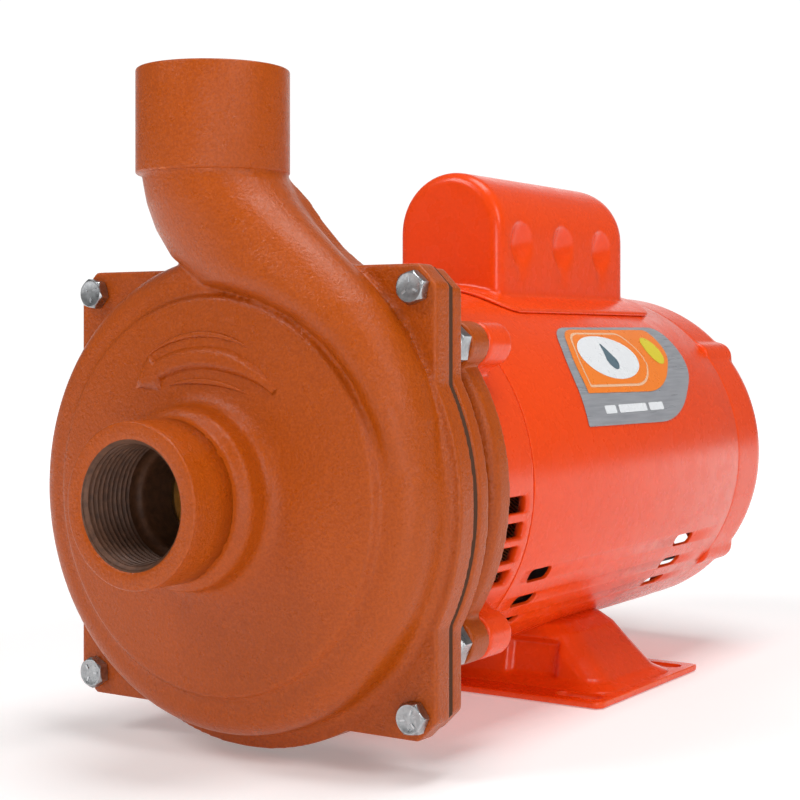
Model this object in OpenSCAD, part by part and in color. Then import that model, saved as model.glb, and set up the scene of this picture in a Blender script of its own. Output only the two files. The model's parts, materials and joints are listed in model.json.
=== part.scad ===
// Close-coupled centrifugal pump with a foot-mounted capacitor-start motor.
// Inside place() the Y axis is the shaft: Y = 0 is the casing's joint face,
// the suction is towards -Y, the motor towards +Y, and Z = 0 is the shaft.

/* [Frame] */
// Height of the shaft above the surface the foot stands on
shaft_h = 91.5; // [90:0.5:96]
// Distance along the shaft from the casing's joint face to the foot's middle
foot_y = 169.7; // [165:0.1:175]

/* [Pump end] */
// Half spacing of the four casing bolts
bolt_half = 70; // [66:0.5:72]
// Radius of the round part of the casing and adapter flanges
flange_r = 87.4; // [84:0.1:88]
// Half width of the square part of the flanges
flange_half = 78; // [76:0.5:80]
// Thickness of the casing flange
flange_t = 9; // [7:0.5:11]
// Thickness of the gasket
gasket_t = 2.5; // [1.5:0.5:3]
// Outer radius of the suction collar
collar_r = 27.2; // [26:0.1:28.5]
// Outer radius of the discharge collar
discharge_r = 26.7; // [26:0.1:28.5]
// Wall radius of the two pipe threads, at their crests
port_r = 19.5; // [19:0.1:20.5]
// Length of the two pipe threads
port_len = 22; // [18:1:26]
// Distance from the joint face forward to the suction collar's face
suction_y = 69; // [60:1:80]
// Height of the discharge collar's face above the shaft
discharge_z = 146.5; // [140:0.5:160]
// Sideways place of the discharge collar
discharge_x = -8.3; // [-12:0.1:0]
// Distance from the joint face forward to the discharge collar's axis
discharge_y = 17; // [14:0.5:20]
// Radius of the impeller
impeller_r = 58; // [50:1:60]
// Number of impeller vanes
vane_count = 6; // [4:1:7]

/* [Adapter] */
// Front of the adapter's rear ring, from the joint face
ring_y0 = 26; // [24:0.5:28]
// Rear of the adapter's rear ring, where the motor starts
ring_y1 = 37; // [35:0.5:39]
// Radius of the adapter's rear ring
ring_r = 80; // [78:0.5:82]
// Sideways place of the four ears
ear_x = 63.5; // [62:0.1:66]
// Height of the four ears from the shaft
ear_z = 51.5; // [50:0.1:54]
// Radius of the four ears
ear_r = 8.2; // [8:0.1:9]

/* [Motor] */
// Outer radius of the motor shell
shell_r = 73.5; // [70:0.5:76]
// Wall of the motor shell
shell_t = 2; // [1.6:0.2:2.6]
// Where the shell starts, from the joint face
shell_y0 = 66; // [64:1:68]
// Where the shell ends and the rear bell starts
shell_y1 = 261; // [255:1:265]
// Rear face of the rear bell
bell_y1 = 301; // [296:1:306]
// Radius of the shaft at the seal
shaft_r = 7.94; // [7.9:0.01:8]
// Radius of the rotor core
rotor_r = 43; // [40:0.5:45]
// Sideways place of the motor's through bolts
tie_x = 50.8; // [49:0.1:52]
// Height of the motor's through bolts from the shaft
tie_z = 44.2; // [43:0.1:45]

/* [Capacitor] */
// Half width of the capacitor cover
cover_w = 24.9; // [23:0.1:26]
// Height of the cover's arch centre above the shaft
cover_z = 98; // [95:0.1:100]
// Front of the capacitor cover
cover_y0 = 125.5; // [120:0.5:130]
// Rear of the capacitor cover
cover_y1 = 247; // [240:1:250]
// Radius of the capacitor can
can_r = 18.5; // [17:0.5:19]

/* [Foot] */
// Half width of the foot
foot_w = 72; // [70:0.5:76]
// Half length of the foot
foot_l = 47.7; // [46:0.1:50]
// Thickness of the foot's sheet
foot_t = 2.5; // [2:0.1:3]
// Half spacing of the foot slots across the shaft
slot_x = 57.7; // [56:0.1:59]
// Half spacing of the foot slots along the shaft
slot_y = 38.1; // [36:0.1:39]
// Half width of the foot slots
slot_r = 4.35; // [4:0.05:4.5]
// End-to-end length of the foot slots
slot_len = 21; // [18:0.5:22]

/* [Hidden] */
fine = 96;             // fineness of large turned faces
mid = 48;              // fineness of small turned faces
eps = 0.02;            // how far a cut runs past a face
sides = [-1, 1];
round_z = -1.5;         // the flanges' round part sits this far off the shaft

ad_y0 = gasket_t;      // front face of the adapter
ad_y1 = 9.5;           // rear face of the adapter's flange
casing_bolt_r = 3.1;
casing_bolt_af = 10;
ear_bolt_r = 4.7;
ear_bolt_af = 14.2;
ear_bolt_head = 6;
ear_angle = atan2(ear_z, ear_x);
tie_r = 2.4;
tie_seat_y = 290;      // rear seat of the through bolts
tie_boss_r = 7.6;      // bosses round the through bolts at the rear
brg_r = 20;            // bearing outer radius
brg_bore = 8.5;        // bearing bore radius
brg_w = 12;            // bearing width
brg_pitch = 14.25;     // radius of the ball circle
ball_r = 3.3;
ball_groove = 3.5;
ball_count = 7;
brg_front = 40;        // front face of the front bearing
brg_rear = 268;        // front face of the rear bearing
core_y0 = 105;         // stator and rotor cores
core_y1 = 195;
stator_bore = rotor_r + 0.4;
coil_slots = 24;
vent_low = [4.7, 12.2, 19.5, 27];   // degrees below level, front bell
vent_mid = [28.4, 38, 47.5];        // degrees below level, shell
air_slots = [9.2, 20.4, 31.6];      // degrees either side of straight down, rear bell
seal_r = 16;           // bore that holds the seal seat
pivot_y = 241;         // governor weight pivots
pivot_z = 22;
arm_y = 256.5;         // switch arm pivot
arm_z = 29;
bush_y = 281;          // cable bushing, along the shaft
bush_bore = 7.5;
cover_screw_y = [118.5, 251];
skirt_front_r = 12;    // corner radii of the cover's skirt
skirt_rear_r = 19;

// casing, front to back: [radius, distance along the shaft]
casing_outer = [
    [0, -suction_y], [collar_r - 0.8, -suction_y], [collar_r, -suction_y + 0.8],
    [collar_r, -47.6], [28.4, -46.7], [29.6, -46.1], [30.4, -45.2], [30.7, -44], [30.7, -38.2],
    [31.2, -36.4], [32.6, -34.9], [35, -33.9], [38, -33.4],
    [66.4, -30.2], [67.4, -29.9], [67.9, -29.2], [68.3, -27.9], [69, -27.4], [70.6, -27.1],
    [74.5, -26.9], [77, -26.2], [79.2, -24.9], [80.9, -23], [82, -20.6], [82.4, -18],
    [82.6, -12.6], [83, -11], [84, -9.7], [85.4, -flange_t], [85.4, 0], [0, 0]];

// discharge neck, as slices: [inner edge [x, z], outer edge [x, z], middle along the shaft, half depth]
neck_outer = [
    [[-32.2, 113], [17.2, 113], -17, 25.6], [[-32.2, 108], [18.4, 108], -17, 25.4],
    [[-31.2, 100], [24, 101], -17.3, 24.2], [[-28, 91], [33, 92.5], -18.5, 21],
    [[-21.5, 81.5], [43.5, 83.5], -19.2, 18.7], [[-8, 72], [53.5, 74.5], -18.8, 18.3],
    [[12, 67.5], [62.5, 65], -18, 17.5], [[27, 62.5], [70, 54.5], -17.2, 16.7],
    [[41, 54], [76, 42], -16.4, 15.9], [[52, 43.5], [80, 28], -15.6, 15],
    [[59.5, 31], [81.6, 14], -15, 13.6], [[62, 15], [81.9, 0], -14.5, 12]];
neck_inner = [
    [[-25.5, 128], [8.9, 128], -17, 17.2], [[-25.5, 112], [8.9, 112], -17, 17.2],
    [[-23.5, 101], [12, 103], -17, 16.8], [[-19, 91], [20, 94.5], -17, 16],
    [[-10, 82], [32, 84.5], -16.6, 14.4], [[4, 76.5], [43, 75], -15.8, 13],
    [[18, 73], [52, 65], -14.6, 11.6], [[31, 64], [60, 53], -13.4, 10.2],
    [[40, 54], [62, 45], -12.6, 9]];
neck_sides = 36;
// flat web in the flange's plane that stiffens the neck's right side
neck_web = [[0, 104], [8, 112], [12.1, 109.5], [20.9, 101.3], [27.2, 93.5], [35.5, 84.7], [42.5, 79.4],
    [44.5, 78], [47, 72], [0, 72]];

function neck_points(p, n) = [for (q = p) for (j = [0 : n - 1])
    let (a = 360 * j / n, mid_xz = (q[0] + q[1]) / 2, half = (q[1] - q[0]) / 2) [
        mid_xz[0] - half[0] * cos(a), q[2] + q[3] * sin(a), mid_xz[1] - half[1] * cos(a)]];
function tube_faces(m, n) = concat(
    [[for (j = [0 : n - 1]) j]],
    [for (i = [0 : m - 2]) for (j = [0 : n - 1]) let (k = (j + 1) % n)
        [i * n + j, (i + 1) * n + k, i * n + k]],
    [for (i = [0 : m - 2]) for (j = [0 : n - 1]) let (k = (j + 1) % n)
        [i * n + j, (i + 1) * n + j, (i + 1) * n + k]],
    [[for (j = [0 : n - 1]) (m - 1) * n + n - 1 - j]]);

// ---- building blocks ----

module place() { translate([0, -foot_y, shaft_h]) children(); }

module turned(n = fine) { rotate([-90, 0, 0]) rotate_extrude($fn = n) children(); }

module rod(r, y0, y1, n = fine) {
    translate([0, y0, 0]) rotate([-90, 0, 0]) cylinder(r = r, h = y1 - y0, $fn = n);
}

module rod_at(x, z, r, y0, y1, n = mid) { translate([x, 0, z]) rod(r, y0, y1, n); }

module ring(ro, ri, y0, y1, n = fine) {
    difference() {
        rod(ro, y0, y1, n);
        rod(ri, y0 - 1, y1 + 1, n);
    }
}

module slab(y0, y1) { translate([0, y1, 0]) rotate([90, 0, 0]) linear_extrude(y1 - y0) children(); }

module corners(x, z) {
    for (m = [0, 1]) mirror([m, 0, 0]) for (sz = sides) translate([x, 0, sz * z]) children();
}

module flange_shape(r, half) {
    c = 7;
    translate([0, round_z]) circle(r = r, $fn = fine);
    polygon([[half, -half + c], [half, half - c], [half - c, half], [-half + c, half],
        [-half, half - c], [-half, -half + c], [-half + c, -half], [half - c, -half]]);
}

module hex_screw(af, head, r, len) {
    rotate([90, 0, 0]) cylinder(r = af / sqrt(3), h = head, $fn = 6);
    rod(r, -eps, len, mid);
}

// ---- pump end ----

module spiral_shape(r0, grow) {
    polygon([for (i = [0 : 71]) let (a = i * 5, t = (a + 240) % 360) [
        (r0 + grow * t / 360) * cos(a), (r0 + grow * t / 360) * sin(a)]]);
}

module volute_casing() color("#b5561f") place() {
    difference() {
        union() {
            turned() polygon(casing_outer);
            slab(-flange_t, 0) {
                flange_shape(flange_r, flange_half);
                polygon(neck_web);
            }
            difference() {
                polyhedron(neck_points(neck_outer, neck_sides), tube_faces(len(neck_outer), neck_sides), 6);
                translate([-60, 0, -30]) cube([160, 40, 118]);
            }
            translate([discharge_x, -discharge_y, 110]) rotate_extrude($fn = fine)
                polygon([[0, 0], [discharge_r - 1.2, 0], [discharge_r, 1.2], [discharge_r, discharge_z - 110.8],
                    [discharge_r - 0.8, discharge_z - 110], [0, discharge_z - 110]]);
        }
        // suction: chamfer, thread, passage and wear bore
        turned() polygon([[0, -suction_y - 1], [port_r + 2.4, -suction_y - 1], [port_r + 2.4, -suction_y],
            [port_r, -suction_y + 2.4], [port_r, -suction_y + 2.4 + port_len],
            [17.5, -suction_y + 4.4 + port_len], [17.5, -27.5], [20.8, -27.5], [20.8, -18], [0, -18]]);
        // impeller chamber and the growing channel round it
        slab(-19, 1) spiral_shape(61, 12);
        slab(-22, -18) difference() {
            spiral_shape(61, 12);
            circle(r = 60, $fn = fine);
        }
        // discharge: chamfer, thread and neck passage
        translate([discharge_x, -discharge_y, discharge_z]) rotate_extrude($fn = fine)
            polygon([[0, 1], [port_r + 2.4, 1], [port_r + 2.4, 0], [port_r, -2.4],
                [port_r, -2.4 - port_len + eps], [0, -2.4 - port_len + eps]]);
        polyhedron(neck_points(neck_inner, neck_sides), tube_faces(len(neck_inner), neck_sides), 6);
        corners(bolt_half, bolt_half) rod(casing_bolt_r + 0.3, -flange_t - 1, 1, mid);
    }
}

module casing_gasket() color("#3a2a24") place() slab(0, gasket_t) difference() {
    flange_shape(flange_r - 0.7, flange_half - 0.8);
    circle(r = 74.5, $fn = fine);
    for (sx = sides) for (sz = sides) translate([sx * bolt_half, sz * bolt_half])
        circle(r = casing_bolt_r + 0.4, $fn = mid);
}

module adapter_bracket() color("#a94f1d") place() {
    difference() {
        union() {
            slab(ad_y0, ad_y1) flange_shape(flange_r, flange_half - 1.2);
            ring(62, 54, ad_y1 - 1, ring_y0 + 1);
            turned() polygon([[50, ring_y0], [ring_r - 3.4, ring_y0], [ring_r - 1.2, ring_y0 + 1],
                [ring_r, ring_y0 + 3.2], [ring_r, ring_y1 - 0.6], [ring_r - 0.6, ring_y1], [50, ring_y1]]);
            corners(ear_x, ear_z) rod(ear_r, ring_y0 - 1, ring_y1, mid);
            rod(26, ad_y1 - 1, 26);
        }
        rod(54, ring_y0 - eps, ring_y1 + 1);
        rod(57.2, ring_y1 - 3.6, ring_y1 + 1);
        rod(20, 0, 17);
        rod(seal_r, 16, 23);
        rod(10.5, 22, 27);
        corners(ear_x, ear_z) rod(ear_bolt_r + 0.3, ring_y0 - 2, ring_y1 + 1, mid);
        corners(bolt_half, bolt_half) rod(casing_bolt_r + 0.03, 0, ad_y1 + 1, mid);
        // weep window under the seal
        translate([-15, ad_y1 + 2.5, -64]) cube([30, 12, 20]);
    }
}

module casing_bolts() color("#b9bcc0") place()
    corners(bolt_half, bolt_half) translate([0, -flange_t, 0])
        hex_screw(casing_bolt_af, 4.2, casing_bolt_r, flange_t + ad_y1 - 0.5);

module adapter_bolts() color("#a9adb2") place()
    corners(ear_x, ear_z) translate([0, ring_y0 - 1, 0])
        hex_screw(ear_bolt_af, ear_bolt_head, ear_bolt_r, 24);

module vane_shape() {
    intersection() {
        difference() {
            circle(r = impeller_r - 0.2, $fn = fine);
            circle(r = 17.6, $fn = fine);
        }
        translate([0, 30]) difference() {
            circle(r = 37.3, $fn = fine);
            circle(r = 34.7, $fn = fine);
        }
        translate([-90, -60]) square([90, 160]);
    }
}

module impeller() color("#c9a24a") place() difference() {
    union() {
        rod(impeller_r, -4.5, -1.2);
        rod(12.5, -11, 0.4, mid);
        ring(impeller_r, 17.5, -17, -14);
        ring(20.4, 17.5, -27, -14);
        for (i = [0 : vane_count - 1]) slab(-14.5, -4) rotate(i * 360 / vane_count) vane_shape();
    }
    rod(5.6, -12, 1, mid);
}

module impeller_lock_screw() color("#c2c4c8") place() {
    rod(8.5, -12, -11, mid);
    translate([0, -12, 0]) hex_screw(10, 4, 2.6, 16);
}

module seal_seat() color("#e9e4da") place() ring(13.4, 9.6, 16.6, 22, mid);

module seal_seat_cup() color("#1e1e20") place() difference() {
    rod(seal_r, 17.2, 23, mid);
    rod(13.4, 16, 22, mid);
    rod(9.9, 16, 24, mid);
}

module seal_face() color("#2b2b2e") place() ring(13, 9, 13.6, 16.5, mid);

module seal_bellows() color("#202124") place() difference() {
    union() {
        rod(12.2, 5.5, 13.6, mid);
        rod(14.2, 9.8, 13.6, mid);
    }
    rod(shaft_r, 5, 14, mid);
    rod(9.6, 8, 14, mid);
}

module seal_spring() color("#c8cbd0") place() {
    turns = 3;
    per = 20;
    n = 8;
    wire = 0.7;
    coil_r = 13.6;
    m = turns * per + 1;
    pts = [for (i = [0 : m - 1]) let (t = i * 360 / per, y = 1.4 + 7 * i / (m - 1)) for (j = [0 : n - 1])
        let (a = 360 * j / n) [(coil_r + wire * cos(a)) * cos(t), y + wire * sin(a), (coil_r + wire * cos(a)) * sin(t)]];
    polyhedron(pts, tube_faces(m, n), 6);
}

module water_slinger() color("#17181a") place() difference() {
    union() {
        rod(11, 28.5, 33, mid);
        rod(21, 30, 31.6, mid);
    }
    rod(shaft_r, 28, 34, mid);
}

module motor_shaft() color("#c4c7cb") place() difference() {
    turned() polygon([[0, -11], [5.4, -11], [5.55, -10.6], [5.55, 0.4], [shaft_r, 0.4], [shaft_r, 38.6],
        [brg_bore, 38.8], [brg_bore, brg_front + brg_w], [10.5, brg_front + brg_w], [10.5, 84],
        [12, 84], [12, 216], [10.5, 216], [10.5, 222], [brg_bore, 222], [brg_bore, brg_rear + brg_w - 0.6],
        [7.7, brg_rear + brg_w + 0.2], [0, brg_rear + brg_w + 0.2]]);
    rod(2.6, -12, 6, mid);
    translate([-9, brg_rear + brg_w - 1.2, -0.8]) cube([18, 3, 1.6]);
}

module rotor_core() color("#8d9094") place() ring(rotor_r, 12, core_y0, core_y1);

module rotor_end_rings() color("#c9ccd0") place() {
    for (m = [0, 1]) translate([0, m * (core_y0 + core_y1), 0]) mirror([0, m, 0]) union() {
        ring(42, 28, core_y0 - 8, core_y0);
        for (i = [0 : 8]) rotate([0, i * 40, 0]) translate([29.5, core_y0 - 19, -1]) cube([11, 12, 2]);
    }
}

// ---- bearings ----

module race_outer(y) difference() {
    union() {
        ring(brg_r, 16.6, y, y + brg_w, mid);
        ring(17, 12.6, y + 0.3, y + 0.9, mid);
        ring(17, 12.6, y + brg_w - 0.9, y + brg_w - 0.3, mid);
    }
    translate([0, y + brg_w / 2, 0]) turned(mid) translate([brg_pitch, 0]) circle(r = ball_groove, $fn = mid);
}

module race_inner(y) difference() {
    ring(12.1, brg_bore, y, y + brg_w, mid);
    translate([0, y + brg_w / 2, 0]) turned(mid) translate([brg_pitch, 0]) circle(r = ball_groove, $fn = mid);
}

module ball_ring(y, r) {
    for (i = [0 : ball_count - 1]) rotate([0, i * 360 / ball_count, 0])
        translate([brg_pitch, y + brg_w / 2, 0]) sphere(r = r, $fn = 24);
}

module ball_cage(y) difference() {
    ring(15.2, 13.4, y + 1.5, y + brg_w - 1.5, mid);
    for (i = [0 : ball_count - 1]) rotate([0, i * 360 / ball_count, 0])
        translate([10, y + brg_w / 2, 0]) rotate([0, 90, 0]) cylinder(r = ball_r + 0.15, h = 10, $fn = mid);
}

module front_bearing_outer() color("#b4b7bb") place() race_outer(brg_front);
module front_bearing_inner() color("#c0c3c7") place() race_inner(brg_front);
module front_bearing_balls() color("#d8dadd") place() ball_ring(brg_front, ball_r);
module front_bearing_cage() color("#c8a456") place() ball_cage(brg_front);
module rear_bearing_outer() color("#b4b7bb") place() race_outer(brg_rear);
module rear_bearing_inner() color("#c0c3c7") place() race_inner(brg_rear);
module rear_bearing_balls() color("#d8dadd") place() ball_ring(brg_rear, ball_r);
module rear_bearing_cage() color("#c8a456") place() ball_cage(brg_rear);
module wave_spring() color("#9da1a6") place() ring(19.4, 15.2, brg_rear + brg_w, brg_rear + brg_w + 0.8, mid);

// ---- motor ----

module vents(angles, y0, y1, half) {
    for (a = angles) for (turn = [a, 180 - a]) rotate([0, turn, 0])
        translate([shell_r - 9, y0, -half]) cube([14, y1 - y0, 2 * half]);
}

module front_end_bell() color("#dc4a1c") place() difference() {
    union() {
        difference() {
            rod(shell_r - 0.1, ring_y1, shell_y0);
            rod(shell_r - 3.2, ring_y1 + 5, shell_y0 + 1);
        }
        ring(shell_r - shell_t - 0.1, shell_r - shell_t - 3, shell_y0 - 4, shell_y0 + 6);
        rod(57.1, ring_y1 - 3.4, ring_y1 + 1);
        rod(25, ring_y1, brg_front + brg_w + 1);
        corners(ear_x, ear_z) rod(ear_r, ring_y1, 52.6, mid);
        for (a = [ear_angle, 180 - ear_angle, 180 + ear_angle, -ear_angle]) rotate([0, -a, 0])
            translate([shell_r - 2.5, ring_y1, -ear_r + 0.8]) cube([9, 14.4, 2 * ear_r - 1.6]);
        corners(tie_x, tie_z) rod(5.2, ring_y1 + 4, 60, mid);
    }
    rod(brg_r, brg_front, brg_front + brg_w + 2);
    rod(9.4, 30, brg_front + 1, mid);
    corners(ear_x, ear_z) rod(ear_bolt_r + 0.03, ring_y1 - 1, 50.5, mid);
    corners(tie_x, tie_z) {
        rod(tie_r + 0.03, 44, 61, mid);
        rod(tie_r + 0.3, 60, shell_y0 + 7, mid);
    }
    vents(vent_low, 47, 61, 2.9);
}

module motor_shell() color("#e04e1e") place() difference() {
    ring(shell_r, shell_r - shell_t, shell_y0, shell_y1);
    vents(vent_mid, 77, 94, 2.9);
    vents(vent_mid, 209, 227, 2.9);
    translate([0, 216, 60]) cylinder(r = 7, h = 20, $fn = mid);
    for (y = cover_screw_y) translate([0, y, 60]) cylinder(r = 1.9, h = 20, $fn = 24);
}

bell_outer = [[0, shell_y1], [shell_r - 0.2, shell_y1], [shell_r - 0.2, 285], [72.6, 288.9], [70.9, 292.6],
    [68.3, 295.9], [65, 298.5], [61.1, 300.3], [57, bell_y1], [0, bell_y1]];
bell_inner = [[0, shell_y1 - 1], [shell_r - 4.2, shell_y1 - 1], [shell_r - 4.2, 285], [67.5, 289.6],
    [64, 293.6], [60, 296.4], [56, 297.4], [0, 297.4]];

module rear_end_bell() color("#dc4a1c") place() difference() {
    union() {
        difference() {
            union() {
                turned() polygon(bell_outer);
                corners(tie_x, tie_z) rod(tie_boss_r, shell_y1 + eps, tie_seat_y + 1, mid);
            }
            turned() polygon(bell_inner);
        }
        ring(shell_r - shell_t - 0.1, shell_r - shell_t - 3, shell_y1 - 6, shell_y1 + 2);
        rod(50, 263, 267);
        for (a = [0, 90]) rotate([0, a, 0]) translate([3 - shell_r, 263, -7]) cube([2 * shell_r - 6, 4, 14]);
        rod(25, 263, 284);
        corners(tie_x, tie_z) rod(5.4, shell_y1 + eps, tie_seat_y, mid);
        intersection() {
            corners(tie_x, tie_z) rod(tie_boss_r, 284, 299, mid);
            turned() polygon(bell_outer);
        }
        for (sx = sides) translate([sx * 20, 0, -30]) rod(3.4, 266, 286, mid);
        for (sx = sides) translate([sx * 30, 0, 0]) rod(3, 260.5, 264, mid);
        translate([-76, bush_y, 0]) rotate([0, 90, 0]) cylinder(r = 15, h = 9, $fn = mid);
    }
    rod(brg_r, 262, brg_rear + brg_w + 0.8);
    corners(tie_x, tie_z) {
        rod(tie_r + 0.3, 255, 300, mid);
        rod(tie_boss_r - 1.2, tie_seat_y, 310, mid);
    }
    rod(40, 297, bell_y1 + 1);
    // air and lead openings through the web
    for (a = [0, 90, 180, 270]) rotate([0, a, 0]) translate([38, 0, 0]) rod(7, 262, 268, mid);
    // air slots low in the end face
    for (a = air_slots) for (side = sides) rotate([0, 90 + side * a, 0])
        translate([49.5, 286, -4.3]) cube([30, 20, 8.6]);
    translate([-80, bush_y, 0]) rotate([0, 90, 0]) cylinder(r = 11.1, h = 20, $fn = mid);
}

module stator_core() color("#7f8387") place() difference() {
    rod(shell_r - shell_t, core_y0, core_y1);
    rod(stator_bore, core_y0 - 1, core_y1 + 1);
    for (i = [0 : coil_slots - 1]) rotate([0, (i + 0.5) * 360 / coil_slots, 0])
        translate([42, core_y0 - 1, -2.6]) cube([19, core_y1 - core_y0 + 2, 5.2]);
    corners(tie_x, tie_z) rod(tie_r + 0.7, core_y0 - 1, core_y1 + 1, mid);
}

module stator_windings() color("#b4622a") place() union() {
    for (i = [0 : coil_slots - 1]) rotate([0, (i + 0.5) * 360 / coil_slots, 0])
        translate([46, core_y0 - 3, -2.4]) cube([14.6, core_y1 - core_y0 + 6, 4.8]);
    for (m = [0, 1]) translate([0, m * (core_y0 + core_y1), 0]) mirror([0, m, 0]) turned()
        polygon([[46, 101], [47, 104], [61, 104], [62.4, 101], [62.4, 91], [60.5, 86.5], [57, 84.2],
            [52.5, 84.2], [48.5, 86.5], [46, 91]]);
}

module through_bolts() color("#a4a8ad") place()
    corners(tie_x, tie_z) union() {
        rod(tie_r, 48, tie_seat_y, 24);
        translate([0, tie_seat_y + 4, 0]) rotate([90, 0, 0]) cylinder(r = 4.6, h = 4, $fn = 6);
    }

// ---- capacitor ----

module start_capacitor() color("#1b1b1d") place() translate([0, 0, cover_z]) union() {
    turned(mid) polygon([[0, 135], [can_r - 2, 135], [can_r, 137], [can_r, 218.5], [can_r - 1, 220], [0, 220]]);
    rod(15, 219, 222.5, mid);
}

module capacitor_terminals() color("#d0a54e") place() for (sx = sides)
    translate([sx * 7 - 3, 222.5, cover_z - 0.4]) cube([6, 8, 0.8]);

module capacitor_strap() color("#9aa0a6") place() union() {
    translate([0, 0, cover_z]) difference() {
        rod(can_r + 1.2, 172, 184, mid);
        rod(can_r, 171, 185, mid);
        translate([-30, 171, -30]) cube([60, 14, 26]);
    }
    for (sx = sides) translate([sx * (can_r + 0.6) - 0.6, 172, 71.2]) cube([1.2, 12, cover_z - 71.2 - 3]);
}

module capacitor_grommet() color("#1a1a1b") place() translate([0, 216, 0]) difference() {
    union() {
        translate([0, 0, 70]) cylinder(r = 6.9, h = 5, $fn = mid);
        translate([0, 0, 73.6]) cylinder(r = 8.6, h = 1.8, $fn = mid);
    }
    translate([0, 0, 69]) cylinder(r = 4.2, h = 8, $fn = mid);
}

module arch_shape(w) {
    translate([0, cover_z]) circle(r = w, $fn = mid);
    translate([-w, 60]) square([2 * w, cover_z - 60]);
}

// slices of the cover from front to back: [distance from its end, how much narrower]
cover_front = [[0, 4.6], [0.4, 2.8], [1.4, 1.3], [2.8, 0.4], [4.6, 0]];
cover_back = [[0, 12], [0.7, 7.9], [2.6, 4.2], [5.6, 1.6], [9, 0.4], [13, 0]];

module cover_body(inset) {
    hull() {
        for (s = cover_front) slab(cover_y0 + inset + s[0], cover_y0 + inset + s[0] + eps) arch_shape(cover_w - inset - s[1]);
        for (s = cover_back) slab(cover_y1 - inset - s[0] - eps, cover_y1 - inset - s[0]) arch_shape(cover_w - inset - s[1]);
    }
}

module cover_dimples(grow) {
    for (sx = sides) for (y = [143.5, 180.5, 217.5]) translate([sx * (cover_w + 13), y, 93.3]) sphere(r = 16 + grow, $fn = mid);
}

module skirt_shape(w, y0, y1) {
    f = skirt_front_r;
    b = skirt_rear_r;
    translate([-w, y0 + f]) square([2 * w, y1 - y0 - f - b]);
    translate([f - w, y0]) square([2 * w - 2 * f, 2 * f]);
    translate([b - w, y1 - 2 * b]) square([2 * w - 2 * b, 2 * b]);
    for (sx = sides) {
        translate([sx * (w - f), y0 + f]) circle(r = f, $fn = mid);
        translate([sx * (w - b), y1 - b]) circle(r = b, $fn = mid);
    }
}

module capacitor_cover() color("#e2501f") place() {
    t = 1.6;
    difference() {
        union() {
            difference() {
                cover_body(0);
                cover_dimples(0);
            }
            intersection() {
                ring(shell_r + 0.05 + t, shell_r - 5, 110, 255);
                translate([0, 0, 60]) linear_extrude(30) skirt_shape(37.5, 110, 255);
            }
        }
        difference() {
            cover_body(t);
            cover_dimples(t);
        }
        rod(shell_r + 0.05, 100, 260);
        for (y = cover_screw_y) translate([0, y, 60]) cylinder(r = 2.1, h = 20, $fn = 24);
    }
}

module cover_screws() color("#b7babd") place() for (y = cover_screw_y) translate([0, y, 0]) union() {
    translate([0, 0, 71.7]) cylinder(r = 1.85, h = 5.3, $fn = 24);
    difference() {
        translate([0, 0, shell_r + 1.8]) cylinder(r = 3.3, h = 2.2, $fn = 24);
        translate([-4, -0.5, shell_r + 3]) cube([8, 1, 3]);
    }
}

// ---- foot ----

// the foot's raised middle, seen from its end, from the base up: [half width, height]
pedestal_side = [[65, -shaft_h + foot_t - 0.1], [50.5, -73], [46.5, -68.4], [41, -65], [34, -63], [34, -60]];

module pedestal(in) {
    base = pedestal_side[0][1];
    top = pedestal_side[5][1];
    intersection() {
        slab(120, 220) polygon(concat([for (p = pedestal_side) [p[0] - in * 1.4, p[1]]],
            [for (i = [5 : -1 : 0]) [in * 1.4 - pedestal_side[i][0], pedestal_side[i][1]]]));
        translate([-90, foot_y, 0]) rotate([90, 0, 90]) linear_extrude(180)
            polygon([[-29.7 + in * 1.1, base], [-23.5 + in * 1.1, top], [23.5 - in * 1.1, top], [29.7 - in * 1.1, base]]);
    }
}

module motor_foot() color("#e04e1e") place() difference() {
    union() {
        translate([-foot_w, foot_y - foot_l, -shaft_h]) cube([2 * foot_w, 2 * foot_l, foot_t]);
        pedestal(0);
    }
    pedestal(foot_t);
    translate([-61.4, foot_y - 26.9, -shaft_h - 1]) cube([122.8, 53.8, foot_t + 1.2]);
    rod(shell_r + 0.05, 110, 230);
    for (sx = sides) for (sy = sides) translate([sx * slot_x, foot_y + sy * slot_y, -shaft_h - 1]) {
        for (e = sides) translate([e * (slot_len / 2 - slot_r), 0, 0]) cylinder(r = slot_r, h = 6, $fn = mid);
        translate([-slot_len / 2 + slot_r, -slot_r, 0]) cube([slot_len - 2 * slot_r, 2 * slot_r, 6]);
    }
}

// ---- governor and start switch ----

module governor_base() color("#5b3b2a") place() difference() {
    union() {
        rod(17, 222.2, 227, mid);
        for (m = [0, 1]) mirror([0, 0, m]) for (sx = sides) translate([sx * 9.5 - 1, 223, 14]) cube([2, 20.5, 11]);
        for (m = [0, 1]) mirror([0, 0, m]) translate([-10, pivot_y, pivot_z]) rotate([0, 90, 0]) cylinder(r = 1.4, h = 20, $fn = 24);
    }
    rod(brg_bore, 221, 228, mid);
}

module governor_spool() color("#d8d2c4") place() difference() {
    union() {
        rod(10.8, 240, 252.5, mid);
        rod(15.5, 240, 242.6, mid);
        rod(16, 248.4, 252.5, mid);
    }
    rod(brg_bore + 0.05, 239, 254, mid);
}

module weight_solid() difference() {
    union() {
        translate([-8, 229.5, 24.2]) cube([16, 9.5, 5.6]);
        translate([-8, 237.6, 20.4]) cube([16, 5.2, 9.4]);
        translate([-3, 243, 12.6]) cube([6, 2.4, 12]);
        translate([-3, 241, 22.2]) cube([6, 4.4, 3.4]);
    }
    translate([-9, pivot_y, pivot_z]) rotate([0, 90, 0]) cylinder(r = 1.45, h = 18, $fn = 24);
}

module governor_weight_upper() color("#8c9095") place() weight_solid();
module governor_weight_lower() color("#8c9095") place() mirror([0, 0, 1]) weight_solid();

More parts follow.
